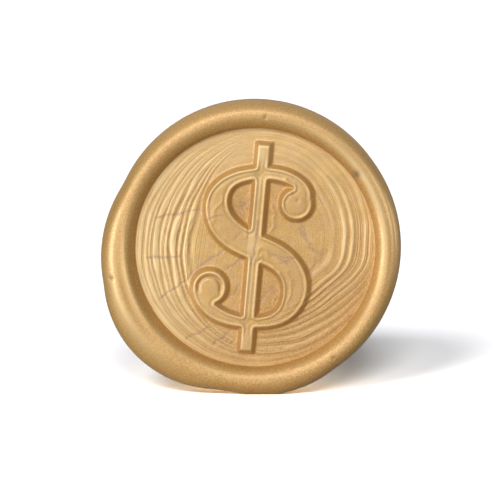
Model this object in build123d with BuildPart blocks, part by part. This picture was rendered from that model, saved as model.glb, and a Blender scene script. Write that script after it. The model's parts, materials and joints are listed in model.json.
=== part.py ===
"""Self-adhesive wax seal, standing on its rim.

A poured and stamped disc of wax carries a double-sided foam dot on its back, and a paper
release liner covers the dot's outer glue. Millimetres, +Z up. The stamped face looks
along -Y. The origin lies under the stamp's axis, on the flat stretch of rim that the seal
stands on, halfway through the depth of the wax.
"""

import os
from math import atan, degrees

from build123d import *

# Wax disc
FIELD_DIAMETER = 25.0  # flat pressed by the head of the stamp
FIELD_THICKNESS = 2.3  # wax left under the stamp
RIM_HEIGHT = 4.0  # from the back of the wax to the crest of the rim
RIM_WIDTH = 2.7  # narrowest stretch of the wax squeezed out round the stamp
INNER_WALL = 0.35  # upright foot of the rim's inner side, under its round
CREST_FLAT = 0.2  # flat left between the two rounds where the rim is narrowest
BACK_BEVEL = 0.6  # the wax draws in where it met the mat
STANDING_REACH = 0.24  # the standing flat lies this far outside the narrowest rim

# Lobes where the poured wax ran past the narrowest rim: direction in degrees from +X, and as
# shares of the narrowest rim's radius, the reach past that rim and how far from the stamp's
# axis the centre of the lobe's round edge lies
CROWN_ANGLE = 96
CROWN_REACH = 0.018
CROWN_OFFSET = 0.036
SPILL_ANGLE = 209
SPILL_REACH = 0.076
SPILL_OFFSET = 0.158
TIP_ANGLE = 218
TIP_REACH = 0.111
TIP_OFFSET = 0.336
FOOT_ANGLE = 279
FOOT_REACH = 0.0276
FOOT_OFFSET = 0.237
LOBE_BLEND = 0.8  # radius of the hollows between the lobes, as such a share

# Stamped emblem: a scroll crossed by an upright bar, with drafted sides
EMBLEM_RELIEF = 0.7
EMBLEM_DRAFT = 0.36  # each side leans in by this much over the relief
EMBLEM_LEAN = 5.1  # degrees clockwise, as the stamp was held
BAR_LENGTH = 22.2
BAR_WIDTH = 1.84
UPPER_CURL = (3.9, 4.95)  # centres of the scroll's two round ends
UPPER_CURL_RADIUS = 1.9
LOWER_CURL = (-4.35, -4.5)
LOWER_CURL_RADIUS = 2.05

# Middle line of the scroll from its upper end to its lower end: across, up, width
SCROLL = (
    (4.76, 5.42, 1.7),
    (4.20, 6.85, 1.8),
    (2.80, 7.62, 1.8),
    (0.80, 7.88, 1.8),
    (-1.30, 7.58, 1.8),
    (-3.15, 6.75, 2.0),
    (-4.25, 5.10, 2.7),
    (-4.20, 3.40, 3.1),
    (-2.90, 1.50, 3.4),
    (0.00, 0.10, 3.3),
    (3.10, -1.25, 3.2),
    (4.45, -3.20, 3.2),
    (4.40, -5.10, 2.9),
    (3.20, -6.95, 2.1),
    (0.80, -7.78, 1.65),
    (-1.40, -7.78, 1.75),
    (-3.30, -7.25, 1.95),
    (-4.80, -6.10, 2.0),
    (-5.40, -4.80, 2.0),
)

# Double-sided foam dot
DOT_DIAMETER = 20.0
GLUE_THICKNESS = 0.08
FOAM_THICKNESS = 0.8

# Release liner
LINER_MARGIN = 0.5  # paper past the edge of the dot
LINER_THICKNESS = 0.12
TAB_WIDTH = 7.0
TAB_REACH = 3.2  # finger tab past the liner's round edge
TAB_ROUND = 1.5

# Values worked out from the sizes above
field_radius = FIELD_DIAMETER / 2
narrow_radius = field_radius + RIM_WIDTH
axis_height = narrow_radius + STANDING_REACH
inner_round = RIM_HEIGHT - FIELD_THICKNESS - INNER_WALL
outer_round = RIM_WIDTH - inner_round - CREST_FLAT
lobes = (
    (CROWN_ANGLE, CROWN_REACH, CROWN_OFFSET),
    (SPILL_ANGLE, SPILL_REACH, SPILL_OFFSET),
    (TIP_ANGLE, TIP_REACH, TIP_OFFSET),
    (FOOT_ANGLE, FOOT_REACH, FOOT_OFFSET),
)
liner_radius = DOT_DIAMETER / 2 + LINER_MARGIN
draft_angle = degrees(atan(EMBLEM_DRAFT / EMBLEM_RELIEF))

# Planes square to the stamp's axis; their normals look out of the face, along -Y
back = Plane(origin=(0, RIM_HEIGHT / 2, axis_height), x_dir=(1, 0, 0), z_dir=(0, -1, 0))
field = back.offset(FIELD_THICKNESS)
emblem = field.rotated((0, EMBLEM_LEAN, 0))
foam_front = back.offset(-GLUE_THICKNESS)
foam_back = foam_front.offset(-FOAM_THICKNESS)
glue_back = foam_back.offset(-GLUE_THICKNESS)
liner_back = glue_back.offset(-LINER_THICKNESS)

# Wax disc: the poured blob with a rounded rim, pressed flat inside it by the stamp
with BuildPart() as wax_seal:
    with BuildSketch(back) as blob:
        Circle(narrow_radius)
        for angle, reach, offset in lobes:
            with PolarLocations(narrow_radius * offset, 1, start_angle=angle):
                Circle(narrow_radius * (1 + reach - offset))
        fillet(blob.vertices(), narrow_radius * LOBE_BLEND)
    extrude(amount=RIM_HEIGHT)
    with BuildSketch(field):
        Circle(field_radius)
    extrude(amount=RIM_HEIGHT - FIELD_THICKNESS, mode=Mode.SUBTRACT)
    crest = wax_seal.faces().sort_by(Axis.Y)[0]
    fillet(crest.inner_wires()[0].edges(), inner_round)
    crest = wax_seal.faces().sort_by(Axis.Y)[0]
    fillet(crest.outer_wire().edges(), outer_round)
    chamfer(wax_seal.faces().sort_by(Axis.Y)[-1].edges(), BACK_BEVEL)

    # Scroll: a drafted stroke of changing width, lofted along its middle line
    with BuildLine(emblem) as scroll_line:
        Spline(*[(across, up) for across, up, width in SCROLL])
    for across, up, width in SCROLL:
        middle = emblem.from_local_coords(Vector(across, up))
        along = scroll_line.edge().tangent_at(scroll_line.edge().param_at_point(middle))
        across_stroke = emblem.z_dir.cross(along)
        with BuildSketch(Plane(origin=middle, x_dir=across_stroke, z_dir=along)):
            Trapezoid(width, EMBLEM_RELIEF, 90 - draft_angle, align=(Align.CENTER, Align.MIN))
    loft()

    # Round ends of the scroll, and the bar through it
    for centre, radius in ((UPPER_CURL, UPPER_CURL_RADIUS), (LOWER_CURL, LOWER_CURL_RADIUS)):
        with BuildSketch(emblem):
            with Locations(centre):
                Circle(radius)
        extrude(amount=EMBLEM_RELIEF, taper=draft_angle)
    with BuildSketch(emblem):
        Rectangle(BAR_WIDTH, BAR_LENGTH)
    extrude(amount=EMBLEM_RELIEF, taper=draft_angle)

    # Standing flat
    split(bisect_by=Plane.XY, keep=Keep.TOP)
wax_seal.part.label = "wax_seal"

# Glue between the wax and the foam
with BuildPart() as wax_side_adhesive:
    with BuildSketch(foam_front):
        Circle(DOT_DIAMETER / 2)
    extrude(amount=GLUE_THICKNESS)
wax_side_adhesive.part.label = "wax_side_adhesive"

# Foam carrier of the dot
with BuildPart() as foam_pad:
    with BuildSketch(foam_back):
        Circle(DOT_DIAMETER / 2)
    extrude(amount=FOAM_THICKNESS)
foam_pad.part.label = "foam_pad"

# Glue that sticks to the envelope once the liner is off
with BuildPart() as paper_side_adhesive:
    with BuildSketch(glue_back):
        Circle(DOT_DIAMETER / 2)
    extrude(amount=GLUE_THICKNESS)
paper_side_adhesive.part.label = "paper_side_adhesive"

# Release liner: a paper disc with a round-cornered finger tab on its right
with BuildPart() as release_liner:
    with BuildSketch(liner_back) as liner_outline:
        Circle(liner_radius)
        with Locations(((liner_radius + TAB_REACH) / 2, 0)):
            Rectangle(liner_radius + TAB_REACH, TAB_WIDTH)
        fillet(liner_outline.vertices().group_by(Axis.X)[-1], TAB_ROUND)
    extrude(amount=LINER_THICKNESS)
release_liner.part.label = "release_liner"

os.makedirs("parts", exist_ok=True)
export_step(wax_seal.part, "parts/wax_seal.step")
export_step(wax_side_adhesive.part, "parts/wax_side_adhesive.step")
export_step(foam_pad.part, "parts/foam_pad.step")
export_step(paper_side_adhesive.part, "parts/paper_side_adhesive.step")
export_step(release_liner.part, "parts/release_liner.step")
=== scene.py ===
"""Self-adhesive wax seal, dressed for its picture: pearl-gold wax, foam dot and paper liner."""

import json
from math import cos, pi, radians, sin, tau

import bpy
import numpy as np
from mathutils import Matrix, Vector
from mathutils.bvhtree import BVHTree
from mathutils.kdtree import KDTree


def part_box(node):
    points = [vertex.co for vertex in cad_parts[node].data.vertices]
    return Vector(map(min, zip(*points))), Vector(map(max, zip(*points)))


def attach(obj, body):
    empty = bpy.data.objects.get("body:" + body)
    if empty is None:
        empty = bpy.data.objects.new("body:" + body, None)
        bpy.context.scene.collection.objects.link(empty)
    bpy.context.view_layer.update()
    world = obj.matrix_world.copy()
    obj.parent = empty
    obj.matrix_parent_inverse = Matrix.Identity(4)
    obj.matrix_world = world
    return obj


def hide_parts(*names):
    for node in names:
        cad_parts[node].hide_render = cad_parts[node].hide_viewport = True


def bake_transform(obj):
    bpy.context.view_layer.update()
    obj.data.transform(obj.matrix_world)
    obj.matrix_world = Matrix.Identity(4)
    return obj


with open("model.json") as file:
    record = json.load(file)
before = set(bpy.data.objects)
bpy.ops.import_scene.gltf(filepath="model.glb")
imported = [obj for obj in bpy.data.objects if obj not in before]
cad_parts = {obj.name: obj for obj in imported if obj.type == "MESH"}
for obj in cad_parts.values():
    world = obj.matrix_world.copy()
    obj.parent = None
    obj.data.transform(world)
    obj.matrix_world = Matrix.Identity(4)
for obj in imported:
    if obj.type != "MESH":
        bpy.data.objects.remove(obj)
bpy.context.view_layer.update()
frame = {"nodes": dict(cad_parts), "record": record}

# The face is worked in millimetres: across to the right and up from the stamp's axis, and out
# of the face towards the viewer. Angles run from the right, anticlockwise, in degrees.
MM = 0.001
FIELD_RADIUS = 12.5
FIELD_THICKNESS = 2.3
EMBLEM_LEAN = 5.1
EMBLEM_RELIEF = 0.7
SIDE_OUT = -0.3  # the wax is widest at this level

# Levels of the CAD wax
nodes = frame["nodes"]
mounts = {mount["name"]: mount["pos_m"] for mount in frame["record"]["mounts"]}
wax_low, wax_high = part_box("wax_seal")
AXIS_HEIGHT = mounts["back_face"][2] / MM
CREST_OUT = -wax_low[1] / MM
BACK_OUT = -wax_high[1] / MM
FIELD_OUT = BACK_OUT + FIELD_THICKNESS


def to_scene(across, up, out):
    """Points of the face, in millimetres, as rows of the shared frame, in metres."""
    return np.column_stack([np.ravel(across), -np.ravel(out), np.ravel(up) + AXIS_HEIGHT]) * MM


def bell(distance, width):
    """A smooth hump: 1 at distance 0, fading over the width."""
    return np.exp(-0.5 * (distance / width) ** 2)


def ease(value, start, end):
    """0 up to start, 1 past end, smooth between them."""
    share = np.clip((value - start) / (end - start), 0, 1)
    return share * share * (3 - 2 * share)


def polar(across, up):
    """Radius and angle of face points."""
    return np.hypot(across, up), np.degrees(np.arctan2(up, across)) % 360


def turn_from(angle, middle):
    """Degrees from the middle angle to each angle, the short way round."""
    return (angle - middle + 180) % 360 - 180


def facing(angle, direction, spread):
    """1 in one direction round the face, fading over the spread."""
    return bell(turn_from(angle, direction), spread)


# Waves of an uneven swell: direction in radians, stretch and shift
WAVES = ((0.3, 1.0, 0.0), (1.7, 1.31, 2.1), (2.9, 0.83, 4.4), (4.1, 1.57, 1.3))
WAVE_BEND = 1.3
BEND_LENGTH = 1.9  # in bumps


def ripple_noise(across, up, size):
    """Gentle uneven swell, about -1 to 1, with bumps of that size."""
    total = 0
    for turn, stretch, shift in WAVES:
        along = across * cos(turn) + up * sin(turn)
        over = up * cos(turn) - across * sin(turn)
        bend = WAVE_BEND * np.sin(tau * over / size / BEND_LENGTH)
        total = total + np.sin(tau * stretch * along / size + shift + bend)
    return total / len(WAVES)


def round_trip(knots, softness):
    """A function of angle through (angle, value) knots, closed round the circle and softened."""
    steps = np.arange(0, 360, 0.5)
    places = [place for place, value in knots]
    values = [value for place, value in knots]
    line = np.interp(steps, places, values, period=360)
    kernel = facing(steps, 0, softness)
    soft = np.real(np.fft.ifft(np.fft.fft(line) * np.fft.fft(kernel / kernel.sum())))
    return lambda angle: np.interp(angle, steps, soft, period=360)


def line_distance(across, up, points):
    """Distance from face points to a line of straight runs through the given points."""
    nearest = np.full(np.shape(across), np.inf)
    for (x0, y0), (x1, y1) in zip(points[:-1], points[1:]):
        run_x, run_y = x1 - x0, y1 - y0
        along = (across - x0) * run_x + (up - y0) * run_y
        share = np.clip(along / (run_x**2 + run_y**2), 0, 1)
        distance = np.hypot(across - x0 - share * run_x, up - y0 - share * run_y)
        nearest = np.minimum(nearest, distance)
    return nearest


def drawn_lines(across, up, lines, width):
    """1 on the nearest of several such lines, fading over the width."""
    total = 0
    for points in lines:
        total = np.maximum(total, bell(line_distance(across, up, points), width))
    return total


def spot_share(across, up, spots):
    """Largest share among round spots, given as across, up, width and share."""
    total = 0
    for spot_across, spot_up, width, share in spots:
        distance = np.hypot(across - spot_across, up - spot_up)
        total = np.maximum(total, share * bell(distance, width))
    return total


def band(across, up, strength, place, width, direction, spread):
    """A band round the axis at one radius, strongest in one direction."""
    radius, angle = polar(across, up)
    return strength * bell(radius - place, width) * facing(angle, direction, spread)


# Shapes read from the CAD wax
wax_tree = BVHTree.FromObject(nodes["wax_seal"], bpy.context.evaluated_depsgraph_get())
AHEAD_OUT = 10.0  # rays at the face start this far out
MAP_PITCH = 0.05
MAP_REACH = 12.0
map_line = np.arange(-MAP_REACH, MAP_REACH + MAP_PITCH / 2, MAP_PITCH)
MAP_LAST = len(map_line) - 1.001  # just inside the last cell


def emblem_map():
    """Height of the CAD emblem above the field, on a square grid over the face."""
    heights = np.zeros((len(map_line), len(map_line)))
    ahead = Vector((0, 1, 0))
    for row, up in enumerate(map_line):
        for column, across in enumerate(map_line):
            if across * across + up * up < MAP_REACH**2:
                start = Vector((across * MM, -AHEAD_OUT * MM, (up + AXIS_HEIGHT) * MM))
                heights[row, column] = -wax_tree.ray_cast(start, ahead)[0].y / MM - FIELD_OUT
    return np.clip(heights, 0, EMBLEM_RELIEF)


def soften(grid, width):
    """The grid with its corners rounded over the width, in millimetres."""
    reach = int(3 * width / MAP_PITCH) + 1
    kernel = bell(np.arange(-reach, reach + 1) * MAP_PITCH, width)
    kernel = kernel / kernel.sum()
    rows = np.apply_along_axis(np.convolve, 0, grid, kernel, "same")
    return np.apply_along_axis(np.convolve, 1, rows, kernel, "same")


def read_map(grid, across, up):
    """Values of the grid at face points, blended between its cells."""
    column = np.clip((across + MAP_REACH) / MAP_PITCH, 0, MAP_LAST)
    row = np.clip((up + MAP_REACH) / MAP_PITCH, 0, MAP_LAST)
    left, low = column.astype(int), row.astype(int)
    over, above = column - left, row - low
    bottom = grid[low, left] * (1 - over) + grid[low, left + 1] * over
    top = grid[low + 1, left] * (1 - over) + grid[low + 1, left + 1] * over
    return bottom * (1 - above) + top * above


def level_points(grid, level):
    """Across and up of the places where the grid passes the level, between its cells."""
    found = []
    for first, second, right, above in (
        (grid[:, :-1], grid[:, 1:], MAP_PITCH, 0),
        (grid[:-1, :], grid[1:, :], 0, MAP_PITCH),
    ):
        row, column = np.nonzero((first > level) != (second > level))
        share = (level - first[row, column]) / (second[row, column] - first[row, column])
        found.append(np.column_stack([map_line[column] + share * right, map_line[row] + share * above]))
    return np.concatenate(found)


def distance_from(grid, level):
    """Distance of each cell from the line where the grid passes the level, less than 0 above it."""
    points = level_points(grid, level)
    tree = KDTree(len(points))
    for number, (across, up) in enumerate(points):
        tree.insert((across, up, 0), number)
    tree.balance()
    distance = np.array([[tree.find((across, up, 0))[2] for across in map_line] for up in map_line])
    return np.where(grid > level, -distance, distance)


def outline_radius(angles):
    """Distance from the stamp's axis to the side of the CAD wax, at each angle."""
    start = Vector((0, -SIDE_OUT * MM, AXIS_HEIGHT * MM))
    directions = [Vector((cos(turn), 0, sin(turn))) for turn in np.radians(angles)]
    hits = [wax_tree.ray_cast(start, direction)[0] for direction in directions]
    return np.array([(hit - start).length for hit in hits]) / MM


# Emblem: its sloping side runs from a sharp top edge to a foot a little past the CAD's
TOP_EDGE = -0.18
FOOT_EDGE = 0.26
EDGE_SOFTNESS = 0.05
CAVITY_REACH = 1.0
emblem_raw = emblem_map()
emblem_edge = distance_from(emblem_raw, EMBLEM_RELIEF / 2)
emblem_rise = np.clip((FOOT_EDGE - emblem_edge) / (FOOT_EDGE - TOP_EDGE), 0, 1)
emblem_soft = soften(EMBLEM_RELIEF * emblem_rise, EDGE_SOFTNESS)
emblem_top = np.clip(emblem_edge / TOP_EDGE, 0, 1)
emblem_cavity = np.clip(soften(emblem_raw, CAVITY_REACH) - emblem_soft, 0, 1) / EMBLEM_RELIEF
emblem_left = np.clip(-np.gradient(emblem_edge, MAP_PITCH, axis=1), 0, 1)  # 1 on sides that look left

# Flow ripples on the left: lines squeezed between the rim and a depth that changes round the face
LEFT_LINES = 9.2
LEFT_START = 0.1  # the first line lies this far inside the field's edge
LEFT_CROWDING = 0.27  # lines near the rim lie closer together by this share
LEFT_LOW = 0.07  # height near the rim
LEFT_GAIN = 0.13  # more height on the way in
LINE_WANDER = 0.14  # in lines, on both sides of the face
left_depth = round_trip(
    (
        (60, 1.0), (95, 1.6), (123, 3.9), (140, 5.1), (155, 5.6), (180, 5.6),
        (195, 5.4), (207, 4.9), (225, 4.2), (250, 2.9), (275, 1.8), (320, 1.0),
    ),
    softness=5,
)
left_strength = round_trip(
    (
        (85, 0), (105, 0.15), (125, 0.4), (150, 0.8), (175, 1),
        (205, 0.9), (225, 0.7), (250, 0.6), (265, 0.4), (278, 0),
    ),
    softness=4,
)

# Flow ripples on the right and below: lines that draw in towards the emblem as they run down
RIGHT_SPACING = 0.66
RIGHT_FIRST = 9.52  # radius where the count starts, straight to the right
RIGHT_LOW = 0.05  # height all along
BELOW_GAIN = 0.03  # more height at the lower right
FOLD_GAIN = 0.1  # more again where the lines bend
SWIRL_HEIGHT = 0.04
right_draw = round_trip(
    (
        (60, 1.13), (35, 1.077), (0, 1.0), (352, 0.99), (348, 0.97), (340, 0.885),
        (330, 0.82), (317, 0.775), (295, 0.74), (270, 0.72), (200, 0.7), (120, 1.13),
    ),
    softness=4.5,
)
right_strength = round_trip(
    (
        (90, 0), (75, 0.25), (45, 0.45), (25, 0.7), (0, 1), (345, 1),
        (320, 1), (300, 1), (280, 0.8), (264, 0.15), (255, 0),
    ),
    softness=4,
)

# Profile of one ripple: a broad ridge between narrow grooves, about level with the field
RIDGE_LEVEL = 0.26
GROOVE_SHARPNESS = 3
FINE_SHARE = 0.3  # ripples at half the spacing, as a share of the full ones


def ridges(phase):
    """Broad ridges with narrow grooves between them, one for each whole number of the phase."""
    return RIDGE_LEVEL - (0.5 - 0.5 * np.cos(tau * phase)) ** GROOVE_SHARPNESS


def ridges_with_fine(line, across, up):
    """The ridges of the counted lines, with finer ones between them."""
    fine_phase = 2 * line + 0.4 * ripple_noise(across, up + 2, size=3.6)
    return ridges(line) + FINE_SHARE * ridges(fine_phase)


def left_lines(across, up):
    """Which ripple each point lies on, counted inwards from the rim, and the share of the way in."""
    radius, angle = polar(across, up)
    share = (FIELD_RADIUS - LEFT_START - radius) / (left_depth(angle) - LEFT_START)
    line = LEFT_LINES * share * (1 + LEFT_CROWDING - LEFT_CROWDING * share)
    line = line + LINE_WANDER * ripple_noise(across, up, size=7.0)
    uneven = np.sin(2.3 * line + 1.5 * ripple_noise(across, up, size=9.0))
    return line + 0.2 * uneven, share


def left_height(across, up):
    """Full height of the left ripples, growing on the way in and none past their depth."""
    angle = polar(across, up)[1]
    share = left_lines(across, up)[1]
    within = ease(share, start=0.0, end=0.05) * (1 - ease(share, start=0.95, end=1.12))
    return within * left_strength(angle) * (LEFT_LOW + LEFT_GAIN * ease(share, start=0.45, end=0.9))


def left_ripples(across, up):
    """Height of the left ripples at each point."""
    line = left_lines(across, up)[0]
    uneven = 1 + 0.45 * ripple_noise(across + 3, up, size=3.1)
    return left_height(across, up) * uneven * ridges_with_fine(line, across, up)


def right_lines(across, up):
    """Which ripple each point lies on, counted outwards, less than 0 inside the first."""
    radius, angle = polar(across, up)
    near_rim = ease(radius, start=9.2, end=12)
    drawn = radius / (1 + (right_draw(angle) - 1) * (1 - 0.25 * near_rim))
    return (drawn - RIGHT_FIRST) / RIGHT_SPACING + LINE_WANDER * ripple_noise(across - 2, up, size=5.5)


# Bold ridges on the right, where the wax folded: line, share of the full height, width in lines
BOLD_HEIGHT = 0.16
BOLD_BED = 0.12  # the ground between them lies lower, by this share of their height
BOLD_RIDGES = (
    (-2.45, 0.3, 0.4),
    (-0.33, 1.0, 0.24),
    (0.88, 0.6, 0.22),
    (3.0, 0.6, 0.16),
    (3.83, 0.35, 0.15),
)


def bold_zone(across, up):
    """1 straight to the right, where the bold ridges lie, fading round the face."""
    return facing(polar(across, up)[1], direction=355, spread=24)


def bold_ridges(across, up):
    """Height of the bold ridges."""
    line = right_lines(across, up)
    total = -BOLD_BED
    for place, share, width in BOLD_RIDGES:
        broken = 1 + 0.6 * ripple_noise(across + 9 * place, up, size=4.3)
        total = total + share * broken * bell(line - place, width)
    inside = 1 - ease(np.hypot(across, up), FIELD_RADIUS - 0.3, FIELD_RADIUS)
    return BOLD_HEIGHT * inside * bold_zone(across, up) * ease(line, start=-4, end=-3) * total


def right_height(across, up):
    """Full height of the plain right ripples, outwards from the first, and of a swirl inside it."""
    radius, angle = polar(across, up)
    line = right_lines(across, up)
    inside = 1 - ease(radius, FIELD_RADIUS - 0.4, FIELD_RADIUS)
    within = ease(line, start=-0.6, end=-0.3) * inside
    below = BELOW_GAIN * facing(angle, direction=305, spread=28)
    fold = FOLD_GAIN * bell(line - 0.5, width=0.9) * facing(angle, direction=325, spread=14)
    swirl = SWIRL_HEIGHT * facing(angle, direction=40, spread=28)
    swirl = swirl * ease(line, start=-4.5, end=-2.5) * (1 - ease(line, start=-1, end=0))
    height = within * right_strength(angle) * (RIGHT_LOW + below + fold) + swirl
    return height * (1 - 0.85 * bold_zone(across, up))


def right_ripples(across, up):
    """Height of the right ripples at each point, bold ridges included."""
    line = right_lines(across, up)
    uneven = 1 + 0.5 * ripple_noise(across, up + 4, size=2.7)
    plain = right_height(across, up) * uneven * ridges_with_fine(line, across, up)
    return plain + bold_ridges(across, up)


FLOW_GAP = 30  # keeps the count on the right apart from the one on the left


def flow_streaks(across, up):
    """A count that grows across the ripples, for fine streaks along them, and where streaks show."""
    angle = polar(across, up)[1]
    left_line, left_share = left_lines(across, up)
    right_line = right_lines(across, up)
    on_left = ease(-across, start=-1.5, end=1.5)
    count = np.where(on_left > 0.5, left_line, right_line + FLOW_GAP)
    rippled = 0.25 + 0.75 * np.maximum(left_strength(angle), right_strength(angle))
    shown = np.abs(2 * on_left - 1) * rippled
    near_left = 1 - 0.55 * ease(left_share, start=1.0, end=1.3)
    near_right = 0.35 + 0.65 * ease(right_line, start=-3.0, end=-0.5)
    near = on_left * near_left + (1 - on_left) * near_right
    return count, shown * near * (1 - 0.5 * read_map(emblem_top, across, up))


# Small marks on top of the emblem, in its own leaning frame
HOOK = ((2.5, 7.45), (3.0, 6.9), (3.2, 6.1))  # a raised line at the scroll's upper end
HOOK_HEIGHT = 0.07
CURL_RING_CENTRE = (-4.35, -4.55)  # a groove round the lower curl, with a lip outside it
CURL_RING_RADIUS = 1.15
RING_DEPTH = 0.15
LIP_HEIGHT = 0.05
LIP_REACH = 0.28

# Dents and bumps there: across, up, height and width
EMBLEM_DENTS = (
    (0.0, 7.75, -0.14, 0.42),
    (0.05, -7.75, -0.08, 0.35),
    (4.0, 5.35, -0.06, 0.16),
    (4.25, 5.35, 0.03, 0.3),
)


def upright(across, up):
    """Face points in the emblem's own leaning frame."""
    lean = radians(EMBLEM_LEAN)
    return across * cos(lean) - up * sin(lean), across * sin(lean) + up * cos(lean)


def curl_ring(across, up, reach):
    """Share of a round line over the top of the lower curl, that far past its groove."""
    x, y = upright(across, up)
    radius, angle = polar(x - CURL_RING_CENTRE[0], y - CURL_RING_CENTRE[1])
    over_top = 1 - ease(np.abs(turn_from(angle, 95)), start=95, end=125)
    return over_top * bell(radius - CURL_RING_RADIUS - reach, width=0.11)


def emblem_marks(across, up):
    """Height of the marks on top of the emblem."""
    x, y = upright(across, up)
    marks = HOOK_HEIGHT * bell(line_distance(x, y, HOOK), width=0.13)
    marks = marks - RING_DEPTH * curl_ring(across, up, reach=0)
    marks = marks + LIP_HEIGHT * curl_ring(across, up, reach=LIP_REACH)
    for dent_x, dent_y, height, width in EMBLEM_DENTS:
        marks = marks + height * bell(np.hypot(x - dent_x, y - dent_y), width)
    return marks


# Raised scribbles where wax folded over itself in the middle of the face
SCRIBBLE_HEIGHT = 0.035
SCRIBBLES = (
    ((-0.2, -1.5), (0.2, -0.4), (0.7, 0.1), (1.2, -0.3), (1.6, -1.2), (1.8, -2.2)),
    ((0.1, -1.4), (0.6, -0.7), (0.8, -1.3)),
    ((-3.3, 5.2), (-4.3, 3.8), (-4.4, 2.4)),
    ((2.5, -2.6), (2.6, -4.4), (1.9, -6.2)),
    ((3.4, -2.4), (3.9, -4.2), (3.2, -6.0)),
    ((-0.6, 5.6), (-0.8, 3.2), (-1.0, 1.2)),
    ((1.9, 4.3), (2.1, 2.9), (1.8, 1.7)),
)


def scribbles(across, up):
    """Height of the scribbles."""
    bent_across = across + 0.2 * ripple_noise(across, up, size=1.9)
    bent_up = up + 0.2 * ripple_noise(across, up + 3, size=2.2)
    return SCRIBBLE_HEIGHT * drawn_lines(bent_across, bent_up, SCRIBBLES, width=0.1)


# Veins of darker wax on the face, as lines of straight runs
VEIN_GROOVE = 0.015
VEIN_STRENGTH = 0.75
VEINS = (
    ((-3.2, -0.3), (-5.9, -2.2), (-8.0, -4.1), (-9.7, -5.2)),
    ((-1.5, -3.9), (-2.8, -5.4)),
    ((-2.6, -8.7), (-4.3, -10.1)),
    ((-4.7, -8.3), (-7.1, -9.6)),
    ((-3.3, 3.5), (-5.0, 3.0)),
    ((-1.5, 1.6), (-2.1, 0.8)),
    ((-0.9, 4.5), (-2.3, 4.0)),
    ((4.9, 2.4), (5.8, 0.2)),
    ((2.0, -0.7), (3.5, -1.7)),
    ((1.9, -4.6), (1.5, -4.2), (0.6, -5.8)),
    ((-11.1, -1.0), (-7.8, -1.0)),
    ((1.8, -0.75), (4.1, -1.1), (2.6, -1.6)),
    ((4.8, 1.9), (5.7, -0.1), (7.1, -0.75)),
    ((-2.2, 4.0), (-1.3, 4.2)),
    ((5.9, -2.8), (6.3, -1.4)),
    ((-10.2, 3.1), (-8.3, 3.5), (-5.6, 4.0)),
    ((-1.2, -0.9), (-2.9, -2.4)),
    ((0.3, 2.8), (0.1, 0.6), (-0.4, -1.8)),
)


def vein_share(across, up):
    """1 on the veins, fading beside them."""
    bent_across = across + 0.15 * ripple_noise(across, up, size=2.3)
    bent_up = up + 0.15 * ripple_noise(across + 5, up, size=2.1)
    return drawn_lines(bent_across, bent_up, VEINS, width=0.09)


# Rim: a bead of squeezed-out wax with a few folds and pits
INNER_RUN = 1.4  # from the field's edge to the crest
UNDER_RUN = 0.55  # the side draws in this far towards the back
BACK_LIP = 0.4  # width of the flat back's first ring
CREST_DROP = 0.06  # leaves room for the folds inside the CAD's box
FULLNESS = 2.2  # 2 is a plain ellipse, more is squarer
INNER_STEPS = 16
OUTER_STEPS = 18
UNDER_STEPS = 8
RIM_SWELL = 0.03
PIT_DEPTH = 0.1

# Folds: height, radius, width, direction and spread in degrees
RIM_FOLDS = (
    (-0.10, 13.95, 0.26, 27, 16),
    (0.09, 13.55, 0.2, 196, 15),
    (-0.09, 14.05, 0.3, 196, 15),
    (0.18, 14.95, 0.4, 212, 15),
    (-0.06, 14.15, 0.15, 14, 22),
    (0.08, 14.5, 0.16, 14, 22),
)

# Pits: across, up, width and share of the full depth
PITS = (
    (10.4, 7.7, 0.3, 1),
    (-15.0, -3.1, 0.18, 1),
    (8.2, -11.4, 0.16, 1),
    (1.1, 13.75, 0.14, 1),
    (8.6, -11.7, 0.14, 1),
)


def rim_folds(across, up):
    """Height of the folds, less the pits, over the rim's plain section."""
    total = 0
    for fold in RIM_FOLDS:
        total = total + band(across, up, *fold)
    total = total + RIM_SWELL * ripple_noise(across, up, size=7.0)
    return total - PIT_DEPTH * spot_share(across, up, PITS)


def bead_round(turn):
    """Share of the run still to go and of the rise gained, at one turn up the rim's section."""
    return cos(turn) ** (2 / FULLNESS), sin(turn) ** (2 / FULLNESS)


def rim_rings(angles):
    """Across, up and out of each ring of the rim, from the field's edge round to the back."""
    outer = outline_radius(angles)
    outer_run = outer - FIELD_RADIUS - INNER_RUN
    crest = CREST_OUT - CREST_DROP
    profile = []
    for turn in np.linspace(0, pi / 2, INNER_STEPS + 1)[1:]:
        along, rise = bead_round(turn)
        radius = np.full(len(outer), FIELD_RADIUS + INNER_RUN * (1 - along))
        profile.append((radius, FIELD_OUT + (crest - FIELD_OUT) * rise))
    for turn in np.linspace(pi / 2, 0, OUTER_STEPS + 1)[1:]:
        along, rise = bead_round(turn)
        profile.append((outer - outer_run * (1 - along), SIDE_OUT + (crest - SIDE_OUT) * rise))
    for turn in np.linspace(0, pi / 2, UNDER_STEPS + 1)[1:]:
        radius = outer - UNDER_RUN * (1 - cos(turn))
        profile.append((radius, SIDE_OUT + (BACK_OUT - SIDE_OUT) * sin(turn)))
    profile.append((outer - UNDER_RUN - BACK_LIP, BACK_OUT))
    rings = []
    for radius, out in profile:
        across = radius * np.cos(np.radians(angles))
        up = np.maximum(radius * np.sin(np.radians(angles)), -AXIS_HEIGHT)
        on_face = ease(out, SIDE_OUT, crest)
        fold = np.minimum(rim_folds(across, up), CREST_OUT - out)
        rings.append((across, up, out + on_face * fold))
    return rings


# Field: a square grid pressed into a disc, so that its cells stay even
FIELD_CELLS = 228


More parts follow.
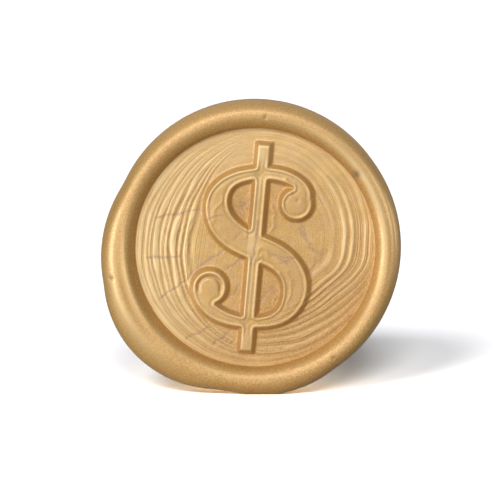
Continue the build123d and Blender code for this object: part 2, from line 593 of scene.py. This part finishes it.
def disc_grid(count):
    """Across and up of the grid's points, row by row."""
    line = np.linspace(-1, 1, count + 1)
    flat_across, flat_up = np.meshgrid(line, line)
    wide = np.abs(flat_across) > np.abs(flat_up)
    radius = np.where(wide, flat_across, flat_up)
    divisor = np.where(radius == 0, 1, radius)
    from_side = pi / 4 * flat_up / divisor
    from_top = pi / 2 - pi / 4 * flat_across / divisor
    angle = np.where(wide, from_side, from_top)
    return FIELD_RADIUS * radius * np.cos(angle), FIELD_RADIUS * radius * np.sin(angle)


def grid_edge(count):
    """Numbers of the grid's outer points, anticlockwise."""
    numbers = np.arange((count + 1) ** 2).reshape(count + 1, count + 1)
    return np.concatenate([numbers[:-1, -1], numbers[-1, :0:-1], numbers[:0:-1, 0], numbers[0, :-1]])


RIPPLE_ON_TOP = 0.15  # share of the ripples that the emblem's top keeps
SWELL = 0.025
FINE_SWELL = 0.01

# Bead along the scroll's top edge, and the groove inside it, by their distance from the edge
BEAD_INSET = 0.1
BEAD_HEIGHT = 0.045
GROOVE_INSET = 0.36
GROOVE_DEPTH = 0.035


def field_height(across, up):
    """Height over the flat field, and how much of it is ripple."""
    on_top = read_map(emblem_top, across, up)
    clear = 1 - on_top
    ripple = left_ripples(across, up) + right_ripples(across, up)
    ripple = (RIPPLE_ON_TOP + (1 - RIPPLE_ON_TOP) * clear) * ripple
    swell = SWELL * ripple_noise(across, up, size=4.0) + FINE_SWELL * ripple_noise(across, up, size=1.7)
    inside = 1 - ease(np.hypot(across, up), FIELD_RADIUS - 0.5, FIELD_RADIUS)
    inside_edge = TOP_EDGE - read_map(emblem_edge, across, up)
    bead = BEAD_HEIGHT * bell(inside_edge - BEAD_INSET, width=0.09)
    bead = bead - GROOVE_DEPTH * bell(inside_edge - GROOVE_INSET, width=0.11)
    on_scroll = 1 - ease(np.hypot(across, up), start=8.6, end=9.6)
    emblem = read_map(emblem_soft, across, up) + on_top * on_scroll * bead
    marks = on_top * emblem_marks(across, up) + scribbles(across, up)
    groove = VEIN_GROOVE * vein_share(across, up)
    return emblem + marks + inside * (ripple + swell) - groove, ripple


# Hollows that the scroll and the bar close off, darkened with painted shade: across, up and the share
# of painted shade in each
COUNTERS = ((-1.6, 4.4, 0.45), (1.9, 3.8, 0.15), (1.9, -4.9, 0.25), (-1.8, -5.2, 0.1))
COUNTER_WIDTH = 1.1
MOST_SHADE = 0.85


def field_painted_shade(across, up, ripple):
    """Share of painted shade: in grooves and hollows, on the emblem's slopes, over the middle and
    towards the lower right.
    """
    edge = read_map(emblem_edge, across, up)
    past_top = ease(edge, TOP_EDGE - 0.05, TOP_EDGE + 0.05)
    past_foot = ease(edge, FOOT_EDGE - 0.05, FOOT_EDGE + 0.1)
    # painted shade on the emblem's slopes, darkest on those that look left
    side = past_top * (1 - past_foot) * (0.1 + 0.8 * read_map(emblem_left, across, up))
    slope = np.maximum(side, 0.35 * bell(TOP_EDGE - edge - GROOVE_INSET, width=0.1))
    slope = np.maximum(slope, curl_ring(across, up, reach=0))
    # painted shade round the emblem's foot and in the hollows it closes off
    cavity = 0.45 * read_map(emblem_cavity, across, up)
    for counter_across, counter_up, weight in COUNTERS:
        distance = np.hypot(across - counter_across, up - counter_up)
        cavity = cavity + weight * bell(distance, COUNTER_WIDTH)
    # painted shade over the middle of the face, towards the lower right and away from the left edge
    heart = 0.12 * (1 - ease(np.hypot(across - 2, (up - 2) / 1.4), start=1, end=8))
    low_right = 0.45 * ease(0.6 * across - 0.8 * up, start=0, end=12)
    from_left = 0.12 * ease(across, start=-12, end=-2)
    carved = np.maximum(-9 * ripple, 0.55 * slope) + cavity
    return np.clip(carved + heart + low_right + from_left, 0, MOST_SHADE)


BAR_HALF = 0.9
CROSSING_UP = 7.75  # the scroll crosses the bar this far above and below the middle
MOST_GLEAM = 0.7


def field_painted_highlight(across, up, ripple):
    """Share of painted highlight: on ripples, on the emblem's edge and bar, on the left and at the top.
    """
    x, y = upright(across, up)
    bead = 0.5 * bell(TOP_EDGE - read_map(emblem_edge, across, up) - BEAD_INSET, width=0.07)
    along_bar = np.clip(0.6 - x, 0, 1) * ease(BAR_HALF - np.abs(x), start=0, end=0.2)
    crossing = bell(np.abs(y) - CROSSING_UP, width=0.6)
    bar = 0.5 * along_bar * read_map(emblem_top, across, up) * (1 - crossing)
    far_left = 0.3 * ease(-across, start=5, end=11)
    above = 0.3 * ease(up, start=4, end=10) * (1 - 0.6 * ease(across, start=2, end=8))
    below_left = 0.22 * ease(-0.6 * across - 0.8 * up, start=6, end=11)
    line = left_lines(across, up)[0]
    along_line = 0.02 * polar(across, up)[1]
    tone = 1 + 0.6 * ripple_noise(line, along_line, size=3.3) * ease(-across, start=3, end=6)
    carved = np.maximum(16 * ripple, bead + bar) * tone
    return np.clip(carved + far_left + above + below_left, 0, MOST_GLEAM)


def rim_painted_shade(number, across, up):
    """Share of painted shade on one ring of the rim: at its inner foot, below, above and in pits."""
    angle = polar(across, up)[1]
    round_foot = 0.15 + 0.85 * facing(angle, direction=100, spread=60)
    round_foot = round_foot + 0.3 * facing(angle, direction=0, spread=30)
    inner_foot = (1 - ease(number, start=0, end=15)) * round_foot
    below = 0.35 * facing(angle, direction=290, spread=40)
    above = 0.25 * bell(number - 18, width=5) * facing(angle, direction=105, spread=45)
    pits = 0.7 * spot_share(across, up, PITS)
    return np.maximum(np.maximum(inner_foot, below + above), pits)


# Bands of painted highlight on the rim: share, radius, width, direction and spread
RIM_HIGHLIGHT_BANDS = (
    (0.45, 15.25, 0.35, 210, 16),
    (0.4, 13.75, 0.12, 196, 13),
    (0.4, 14.5, 0.13, 22, 18),
    (0.6, 13.55, 0.25, 28, 26),
)


def rim_painted_highlight(across, up):
    """Share of painted highlight on the rim."""
    total = 0
    for highlight_band in RIM_HIGHLIGHT_BANDS:
        total = np.maximum(total, band(across, up, *highlight_band))
    return total


# Dark specks at the rim's pits: across, up, width and share
SPECKS = (
    (10.5, 7.7, 0.28, 0.75),
    (-15.0, -3.1, 0.15, 0.3),
    (8.2, -11.4, 0.14, 0.3),
    (1.1, 13.75, 0.12, 0.3),
)


def add_piece(name, points, faces, material):
    """A smooth mesh of one material, linked into the scene."""
    mesh = bpy.data.meshes.new(name)
    mesh.from_pydata(points.tolist(), [], faces)
    mesh.update()
    mesh.shade_smooth()
    piece = bpy.data.objects.new(name, mesh)
    bpy.context.scene.collection.objects.link(piece)
    mesh.materials.append(material)
    return piece


def paint(piece, name, *parts):
    """Keeps one number per point on the piece, for its material to read."""
    values = np.concatenate([np.ravel(part) for part in parts])
    layer = piece.data.attributes.new(name, "FLOAT", "POINT")
    layer.data.foreach_set("value", values.astype(np.float32))


# Materials: small helpers for node trees
def new_material(name):
    """A material, its node tree and its shader."""
    material = bpy.data.materials.new(name)
    material.use_nodes = True
    tree = material.node_tree
    return material, tree, tree.nodes["Principled BSDF"]


def feed(tree, value, socket):
    """Links another node's output to the socket, or sets a plain value on it."""
    if isinstance(value, bpy.types.NodeSocket):
        tree.links.new(value, socket)
    else:
        socket.default_value = value


def millimetres(tree):
    """Object coordinates in millimetres."""
    place = tree.nodes.new("ShaderNodeTexCoord")
    scale = tree.nodes.new("ShaderNodeVectorMath")
    scale.operation = "SCALE"
    scale.inputs["Scale"].default_value = 1 / MM
    tree.links.new(place.outputs["Object"], scale.inputs[0])
    return scale.outputs["Vector"]


def noise(tree, place, per_mm, detail=3.0, distortion=0.0):
    """Cloudy noise with that many bumps per millimetre."""
    node = tree.nodes.new("ShaderNodeTexNoise")
    node.inputs["Scale"].default_value = per_mm
    node.inputs["Detail"].default_value = detail
    node.inputs["Distortion"].default_value = distortion
    tree.links.new(place, node.inputs["Vector"])
    return node.outputs["Fac"]


def painted(tree, name):
    """The numbers painted on the piece under that name."""
    node = tree.nodes.new("ShaderNodeAttribute")
    node.attribute_name = name
    return node.outputs["Fac"]


def remap(tree, value, low, high, new_low, new_high):
    """The value stretched from one range to another and held inside it."""
    node = tree.nodes.new("ShaderNodeMapRange")
    node.inputs["From Min"].default_value = low
    node.inputs["From Max"].default_value = high
    node.inputs["To Min"].default_value = new_low
    node.inputs["To Max"].default_value = new_high
    tree.links.new(value, node.inputs["Value"])
    return node.outputs["Result"]


def calculate(tree, operation, first, second):
    """A sum, product or other operation on two numbers."""
    node = tree.nodes.new("ShaderNodeMath")
    node.operation = operation
    feed(tree, first, node.inputs[0])
    feed(tree, second, node.inputs[1])
    return node.outputs["Value"]


# Places of a mix node's two values and of its result, for colours and for numbers
MIX_PLACES = {"RGBA": (6, 7, 2), "FLOAT": (2, 3, 0)}


def mix(tree, share, first, second, kind="RGBA"):
    """The first colour or number, turned into the second by the share."""
    node = tree.nodes.new("ShaderNodeMix")
    node.data_type = kind
    first_place, second_place, result_place = MIX_PLACES[kind]
    tree.links.new(share, node.inputs["Factor"])
    feed(tree, first, node.inputs[first_place])
    feed(tree, second, node.inputs[second_place])
    return node.outputs[result_place]


def bump(tree, shader, height, depth):
    """Fine relief on the shader: the height, times the depth in metres."""
    node = tree.nodes.new("ShaderNodeBump")
    node.inputs["Distance"].default_value = depth
    tree.links.new(height, node.inputs["Height"])
    tree.links.new(node.outputs["Normal"], shader.inputs["Normal"])


def streaks(tree, per_line):
    """Fine streaks that run along the ripples of the face."""
    node = tree.nodes.new("ShaderNodeTexNoise")
    node.noise_dimensions = "1D"
    node.inputs["Scale"].default_value = per_line
    node.inputs["Detail"].default_value = 4
    tree.links.new(painted(tree, "flow"), node.inputs["W"])
    return node.outputs["Fac"]


def groove_lines(tree):
    """Painted shade in thin grooves between the ripples, and a painted highlight on the flank beside
    each.
    """
    lines = []
    for shift, faint, full in ((0.0, 0.36, 0.5), (0.3, 0.14, 0.0)):
        shifted = calculate(tree, "ADD", painted(tree, "flow"), shift)
        from_ridge = calculate(tree, "PINGPONG", shifted, 0.5)
        line = remap(tree, from_ridge, faint, full, 0, 1)
        lines.append(calculate(tree, "MULTIPLY", line, painted(tree, "grooved")))
    return lines


# Colours of the wax
RIM_GOLD = (0.57, 0.30, 0.077, 1)
FIELD_GOLD = (0.59, 0.32, 0.06, 1)
FIELD_CLOUD = (0.66, 0.38, 0.085, 1)
MARBLE = (0.57, 0.335, 0.14, 1)
STREAK_GOLD = (0.80, 0.54, 0.20, 1)
MICA_GOLD = (0.80, 0.55, 0.19, 1)
# Pale pearl for painted highlights, deep amber for painted shade
PAINTED_HIGHLIGHT_PEARL = (0.95, 0.71, 0.37, 1)
PAINTED_SHADE_AMBER = (0.39, 0.17, 0.028, 1)
VEIN_BROWN = (0.36, 0.18, 0.11, 1)
SPECK_DARK = (0.16, 0.12, 0.06, 1)


def wax_colour(tree, place, mica):
    """Gold with clouds and streaks, painted highlights on crests, painted shade in hollows, then veins,
    flecks and dark specks.
    """
    field = painted(tree, "field")
    cloud = remap(tree, noise(tree, place, 0.22, distortion=0.6), 0.3, 0.7, 0, 1)
    colour = mix(tree, cloud, FIELD_GOLD, FIELD_CLOUD)
    colour = mix(tree, field, RIM_GOLD, colour)
    marble = remap(tree, noise(tree, place, 0.5, detail=5, distortion=1.6), 0.44, 0.62, 0, 0.7)
    colour = mix(tree, calculate(tree, "MULTIPLY", marble, field), colour, MARBLE)
    streak = remap(tree, streaks(tree, 1.6), 0.45, 0.75, 0, 0.6)
    streak = calculate(tree, "MULTIPLY", streak, painted(tree, "streaked"))
    colour = mix(tree, streak, colour, STREAK_GOLD)
    # Painted shade in the ripple grooves, and a painted highlight on the flank beside each
    groove, painted_flank_highlight = groove_lines(tree)
    broken = remap(tree, noise(tree, place, 1.3, detail=4), 0.35, 0.62, 0.2, 0.75)
    colour = mix(tree, calculate(tree, "MULTIPLY", painted_flank_highlight, broken), colour, PAINTED_HIGHLIGHT_PEARL)
    colour = mix(tree, calculate(tree, "MULTIPLY", groove, 0.7), colour, PAINTED_SHADE_AMBER)
    # Painted highlights on crests, bead, bar and rim bands, then painted shade in hollows, on slopes
    # and at the rim's foot
    colour = mix(tree, painted(tree, "crest"), colour, PAINTED_HIGHLIGHT_PEARL)
    colour = mix(tree, painted(tree, "painted_shade"), colour, PAINTED_SHADE_AMBER)
    colour = mix(tree, painted(tree, "vein"), colour, VEIN_BROWN)
    fleck_share = remap(tree, field, 0, 1, 0.6, 0.4)
    fleck = calculate(tree, "MULTIPLY", remap(tree, mica, 0.4, 0.65, 0, 1), fleck_share)
    colour = mix(tree, fleck, colour, MICA_GOLD)
    return mix(tree, painted(tree, "speck"), colour, SPECK_DARK)


def wax_roughness(tree, mica):
    """Satin that the mica breaks up, duller where shade is painted."""
    rim_satin = remap(tree, mica, 0.3, 0.7, 0.5, 0.4)
    field_satin = remap(tree, mica, 0.3, 0.7, 0.5, 0.41)
    satin = mix(tree, painted(tree, "field"), rim_satin, field_satin, kind="FLOAT")
    dull = calculate(tree, "MULTIPLY", painted(tree, "painted_shade"), 0.2)
    return calculate(tree, "ADD", satin, dull)


def wax_grain(tree, mica):
    """Fine relief in millimetres: mica all over, and streaks along the ripples."""
    mica_height = remap(tree, painted(tree, "field"), 0, 1, 0.018, 0.016)
    streak_height = remap(tree, painted(tree, "streaked"), 0, 1, 0, 0.07)
    mica_grain = calculate(tree, "MULTIPLY", mica, mica_height)
    streak_grain = calculate(tree, "MULTIPLY", streaks(tree, 5.0), streak_height)
    return calculate(tree, "ADD", mica_grain, streak_grain)


def wax_material():
    """Sealing wax with pearl pigment."""
    material, tree, shader = new_material("pearl_wax")
    place = millimetres(tree)
    mica = noise(tree, place, 8, detail=5)
    tree.links.new(wax_colour(tree, place, mica), shader.inputs["Base Color"])
    tree.links.new(wax_roughness(tree, mica), shader.inputs["Roughness"])
    shader.inputs["Metallic"].default_value = 0.35
    shader.inputs["IOR"].default_value = 1.7
    shader.inputs["Specular IOR Level"].default_value = 1.0
    shader.inputs["Specular Tint"].default_value = (1, 0.97, 0.9, 1)
    bump(tree, shader, wax_grain(tree, mica), MM)
    return material


def foam_material():
    """White foam with open cells, their hollows darkened with painted shade."""
    material, tree, shader = new_material("white_foam")
    cells = tree.nodes.new("ShaderNodeTexVoronoi")
    cells.inputs["Scale"].default_value = 4.5
    tree.links.new(millimetres(tree), cells.inputs["Vector"])
    depth = remap(tree, cells.outputs["Distance"], 0.0, 0.6, 0, 1)
    # darker colour in the cells' hollows: painted shade
    colour = mix(tree, depth, (0.62, 0.62, 0.58, 1), (0.82, 0.82, 0.79, 1))
    tree.links.new(colour, shader.inputs["Base Color"])
    shader.inputs["Roughness"].default_value = 0.85
    bump(tree, shader, depth, 0.12 * MM)
    return material


def glue_material():
    """Pale glossy glue, streaked where it was spread."""
    material, tree, shader = new_material("clear_glue")
    place = millimetres(tree)
    streak = noise(tree, place, 0.6, detail=4, distortion=0.8)
    colour = mix(tree, streak, (0.66, 0.58, 0.40, 1), (0.82, 0.77, 0.62, 1))
    tree.links.new(colour, shader.inputs["Base Color"])
    tree.links.new(remap(tree, streak, 0.3, 0.7, 0.10, 0.28), shader.inputs["Roughness"])
    bump(tree, shader, noise(tree, place, 2.2), 0.03 * MM)
    return material


def liner_material():
    """Coated paper with fibres and a cloudy tone."""
    material, tree, shader = new_material("liner_paper")
    place = millimetres(tree)
    fibre = noise(tree, place, 5.0, detail=6, distortion=2.5)
    cloud = noise(tree, place, 0.45, detail=3)
    fibre_share = remap(tree, fibre, 0.35, 0.65, 0, 1)
    colour = mix(tree, fibre_share, (0.80, 0.78, 0.70, 1), (0.90, 0.88, 0.82, 1))
    colour = mix(tree, remap(tree, cloud, 0.4, 0.7, 0, 0.4), colour, (0.84, 0.80, 0.69, 1))
    tree.links.new(colour, shader.inputs["Base Color"])
    tree.links.new(remap(tree, fibre, 0.3, 0.7, 0.38, 0.55), shader.inputs["Roughness"])
    bump(tree, shader, fibre, 0.02 * MM)
    return material


# Wax piece
def wax_faces(edge, ring_count):
    """Faces of the field's grid, of the rim's rings round it, and one that closes the back."""
    count = FIELD_CELLS + 1
    faces = []
    for row in range(FIELD_CELLS):
        for column in range(FIELD_CELLS):
            corner = row * count + column
            faces.append((corner, corner + 1, corner + count + 1, corner + count))
    inner = edge
    for number in range(ring_count):
        outer = count * count + number * len(edge) + np.arange(len(edge))
        inner_next, outer_next = np.roll(inner, -1), np.roll(outer, -1)
        faces.extend(zip(inner.tolist(), outer.tolist(), outer_next.tolist(), inner_next.tolist()))
        inner = outer
    faces.append(inner[::-1].tolist())
    return faces


def paint_wax(wax, across, up, ripple, rings):
    """Paints what the wax material reads: first the field's points, then the rim's."""
    on_rim = np.zeros(len(rings) * len(rings[0][0]))
    paint(wax, "field", np.ones(np.size(across)), on_rim)
    paint(wax, "vein", VEIN_STRENGTH * vein_share(across, up), on_rim)
    flow, streaked = flow_streaks(across, up)
    paint(wax, "flow", flow, on_rim)
    paint(wax, "streaked", streaked, on_rim)
    # where the ripple grooves get painted shade and their flanks a painted highlight
    grooved = np.where(across < 0, left_height(across, up), right_height(across, up))
    grooved = np.clip(9 * grooved, 0, 1) * (1 - 0.85 * read_map(emblem_top, across, up))
    paint(wax, "grooved", grooved, on_rim)
    rim_specks = [spot_share(ring[0], ring[1], SPECKS) for ring in rings]
    paint(wax, "speck", spot_share(across, up, SPECKS), rim_specks)
    # painted highlights, on the field and on the rim's bands
    rim_painted_highlights = [rim_painted_highlight(ring[0], ring[1]) for ring in rings]
    paint(wax, "crest", field_painted_highlight(across, up, ripple), rim_painted_highlights)
    # painted shade, on the field and on the rim
    rim_painted_shades = [rim_painted_shade(number, ring[0], ring[1]) for number, ring in enumerate(rings)]
    paint(wax, "painted_shade", field_painted_shade(across, up, ripple), rim_painted_shades)


def build_wax():
    """The field's grid, raised by the emblem and the ripples, with the rim round it."""
    across, up = disc_grid(FIELD_CELLS)
    height, ripple = field_height(across, up)
    edge = grid_edge(FIELD_CELLS)
    angles = polar(across.ravel()[edge], up.ravel()[edge])[1]
    rings = rim_rings(angles)
    points = [to_scene(across, up, FIELD_OUT + height)] + [to_scene(*ring) for ring in rings]
    wax = add_piece("wax", np.concatenate(points), wax_faces(edge, len(rings)), wax_material())
    paint_wax(wax, across, up, ripple, rings)
    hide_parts("wax_seal")
    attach(wax, "seal")


# Foam disc with open cells round its cut edge
FOAM_TURNS = 240
FOAM_LEVELS = 9
FOAM_ROUND = 0.06
CELL_DEPTH = 0.05
CELL_SIZE = 0.55


def build_foam():
    """Rings from the front of the foam to its back, closed by a flat face on each."""
    low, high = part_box("foam_pad")
    radius = (high[0] - low[0]) / 2 / MM
    angles = np.linspace(0, tau, FOAM_TURNS, endpoint=False)
    points = []
    for level in range(FOAM_LEVELS):
        share = level / (FOAM_LEVELS - 1)
        out = (-low[1] + (low[1] - high[1]) * share) / MM
        round_edge = FOAM_ROUND * (2 * share - 1) ** 6
        cells = ripple_noise(angles * radius, np.full(FOAM_TURNS, 3 * out), CELL_SIZE)
        reach = radius - round_edge - CELL_DEPTH * (1 + cells)
        ring_out = np.full(FOAM_TURNS, out)
        points.append(to_scene(reach * np.cos(angles), reach * np.sin(angles), ring_out))
    last_ring = (FOAM_LEVELS - 1) * FOAM_TURNS
    faces = [tuple(range(FOAM_TURNS - 1, -1, -1)), tuple(range(last_ring, last_ring + FOAM_TURNS))]
    for level in range(FOAM_LEVELS - 1):
        for number in range(FOAM_TURNS):
            this = level * FOAM_TURNS + number
            after = level * FOAM_TURNS + (number + 1) % FOAM_TURNS
            faces.append((this, after, after + FOAM_TURNS, this + FOAM_TURNS))
    foam = add_piece("foam", np.concatenate(points), faces, foam_material())
    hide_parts("foam_pad")
    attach(foam, "seal")


# Paper liner: a round sheet with a finger tab, in fine columns and rows
TAB_HALF = 3.5
TAB_ROUND = 1.5
LEAST_HALF = 0.02  # keeps the left end from closing to a point
LINER_COLUMNS = 96
LINER_ROWS = 24


def liner_half(across, radius, end):
    """Half of the liner's height at each place across."""
    disc = np.sqrt(np.maximum(radius**2 - across**2, 0.0))
    past_corner = np.maximum(across - end + TAB_ROUND, 0)
    corner = np.sqrt(np.maximum(TAB_ROUND**2 - past_corner**2, 0.0))
    tab = np.where(across > 0, TAB_HALF - TAB_ROUND + corner, 0)
    return np.maximum(np.maximum(disc, tab), LEAST_HALF)


def liner_faces():
    """Faces of the liner's front and back sheets, and of the strip round their edge."""
    numbers = np.arange(LINER_COLUMNS * LINER_ROWS).reshape(LINER_COLUMNS, LINER_ROWS)
    back = numbers.size
    faces = []
    for corner in numbers[:-1, :-1].ravel().tolist():
        beside = corner + LINER_ROWS
        faces.append((corner, beside, beside + 1, corner + 1))
        faces.append((back + corner, back + corner + 1, back + beside + 1, back + beside))
    sides = (numbers[:, 0], numbers[-1, 1:], numbers[-2::-1, -1], numbers[0, -2:0:-1])
    ring = np.concatenate(sides).tolist()
    for this, after in zip(ring, ring[1:] + ring[:1]):
        faces.append((this, back + this, back + after, after))
    return faces


def build_liner():
    """The front and back sheets of the liner, with columns and rows closer near the edge."""
    low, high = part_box("release_liner")
    start, end = low[0] / MM, high[0] / MM
    column_share = (1 - np.cos(np.linspace(0, pi, LINER_COLUMNS))) / 2
    column_across = start + (end - start) * column_share
    row_share = np.sin(np.linspace(-pi / 2, pi / 2, LINER_ROWS))
    up = np.outer(liner_half(column_across, -start, end), row_share)
    across = np.repeat(column_across[:, None], LINER_ROWS, axis=1)
    front = to_scene(across, up, np.full(up.shape, -low[1] / MM))
    back = to_scene(across, up, np.full(up.shape, -high[1] / MM))
    liner = add_piece("liner", np.concatenate([front, back]), liner_faces(), liner_material())
    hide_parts("release_liner")
    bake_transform(liner)


build_wax()
build_foam()
build_liner()
film = glue_material()
for name in ("wax_side_adhesive", "paper_side_adhesive"):
    nodes[name].data.materials.clear()
    nodes[name].data.materials.append(film)


# Stage: a floor that shows white, a pale sky and far lights
FLOOR_REACH = 3.0  # metres
FLOOR_COLOUR = (0.25, 0.25, 0.25, 1)
FLOOR_IN_SHINE = (1, 1, 1, 1)
FLOOR_IN_PICTURE = (5.1, 5.15, 5.3, 1)  # lifts the lit floor to white and keeps the shadow
SKY_LIGHT = 0.012
SKY_IN_PICTURE = 1.0


def seen_directly(tree):
    """Two sockets: 1 on camera rays, straight or through clear things, and 1 on rays off shiny ones."""
    path = tree.nodes.new("ShaderNodeLightPath")
    through = path.outputs["Is Transmission Ray"]
    straight = calculate(tree, "MAXIMUM", path.outputs["Is Camera Ray"], through)
    return straight, path.outputs["Is Glossy Ray"]


def build_floor():
    """A wide matt floor."""
    corners = np.array([(-1, -1, 0), (1, -1, 0), (1, 1, 0), (-1, 1, 0)]) * FLOOR_REACH
    material, tree, shader = new_material("white_floor")
    straight, shiny = seen_directly(tree)
    colour = mix(tree, shiny, FLOOR_COLOUR, FLOOR_IN_SHINE)
    colour = mix(tree, straight, colour, FLOOR_IN_PICTURE)
    tree.links.new(colour, shader.inputs["Base Color"])
    shader.inputs["Roughness"].default_value = 1.0
    shader.inputs["Specular IOR Level"].default_value = 0.0
    floor = add_piece("floor", corners, [(0, 1, 2, 3)], material)


def build_world():
    """A dim sky that shows white, with a pale backdrop and ceiling for the wax to mirror."""
    world = bpy.data.worlds.new("studio")
    bpy.context.scene.world = world
    world.use_nodes = True
    tree = world.node_tree
    sky = tree.nodes["Background"]
    sky.inputs["Color"].default_value = (1, 1, 1, 1)
    direction = tree.nodes.new("ShaderNodeSeparateXYZ")
    place = tree.nodes.new("ShaderNodeTexCoord")
    tree.links.new(place.outputs["Generated"], direction.inputs["Vector"])
    backdrop = remap(tree, direction.outputs["Y"], 0.5, 0.85, 0, 0.5)
    ceiling = remap(tree, direction.outputs["Z"], 0.3, 0.8, 0, 0.7)
    straight, shiny = seen_directly(tree)
    mirrored = calculate(tree, "MULTIPLY", shiny, calculate(tree, "ADD", backdrop, ceiling))
    level = remap(tree, mirrored, 0, 1, SKY_LIGHT, 1)
    level = mix(tree, straight, level, SKY_IN_PICTURE, kind="FLOAT")
    tree.links.new(level, sky.inputs["Strength"])


def add_sun(name, azimuth, elevation, strength, spread, shadow=True):
    """A far light, its azimuth to the left of the camera, all angles in degrees."""
    light = bpy.data.lights.new(name, "SUN")
    light.energy = strength
    light.angle = radians(spread)
    light.use_shadow = shadow
    lamp = bpy.data.objects.new(name, light)
    turn, rise = radians(azimuth), radians(elevation)
    toward = Vector((-sin(turn) * cos(rise), -cos(turn) * cos(rise), sin(rise)))
    lamp.rotation_euler = toward.to_track_quat("Z", "Y").to_euler()
    bpy.context.scene.collection.objects.link(lamp)


# The lights without shadow lie a little under the horizon, so they light the wax and not the floor
build_floor()
build_world()
add_sun("key", azimuth=-2, elevation=26, strength=0.75, spread=15)
add_sun("left key", azimuth=20, elevation=29, strength=0.8, spread=15)
add_sun("front", azimuth=10, elevation=-3, strength=0.38, spread=6, shadow=False)
add_sun("fill", azimuth=-45, elevation=-3, strength=0.15, spread=6, shadow=False)
add_sun("side", azimuth=53, elevation=-3, strength=1.7, spread=6, shadow=False)
add_sun("right", azimuth=-98, elevation=1, strength=0.9, spread=12)
add_sun("back", azimuth=180, elevation=-2, strength=1.0, spread=4, shadow=False)

# Camera: the photograph's level view of the face, a little above the floor
CAMERA_ELEVATION = 7
CAMERA_DISTANCE = 0.6
SENSOR_WIDTH = 36
VIEW_WIDTH = 52.0  # millimetres of the face's plane across the picture
VIEW_MIDDLE = (-0.53, -0.27)  # across and up of the picture's middle

camera_data = bpy.data.cameras.new("camera")
camera_data.sensor_width = SENSOR_WIDTH
camera_data.lens = SENSOR_WIDTH * CAMERA_DISTANCE / (VIEW_WIDTH * MM)
camera = bpy.data.objects.new("camera", camera_data)
away = Vector((0, -cos(radians(CAMERA_ELEVATION)), sin(radians(CAMERA_ELEVATION))))
middle = Vector((VIEW_MIDDLE[0] * MM, -FIELD_OUT * MM, (VIEW_MIDDLE[1] + AXIS_HEIGHT) * MM))
camera.location = middle + away * CAMERA_DISTANCE
camera.rotation_euler = away.to_track_quat("Z", "Y").to_euler()
bpy.context.scene.collection.objects.link(camera)
bpy.context.scene.camera = camera
bpy.context.scene.view_settings.view_transform = "Standard"
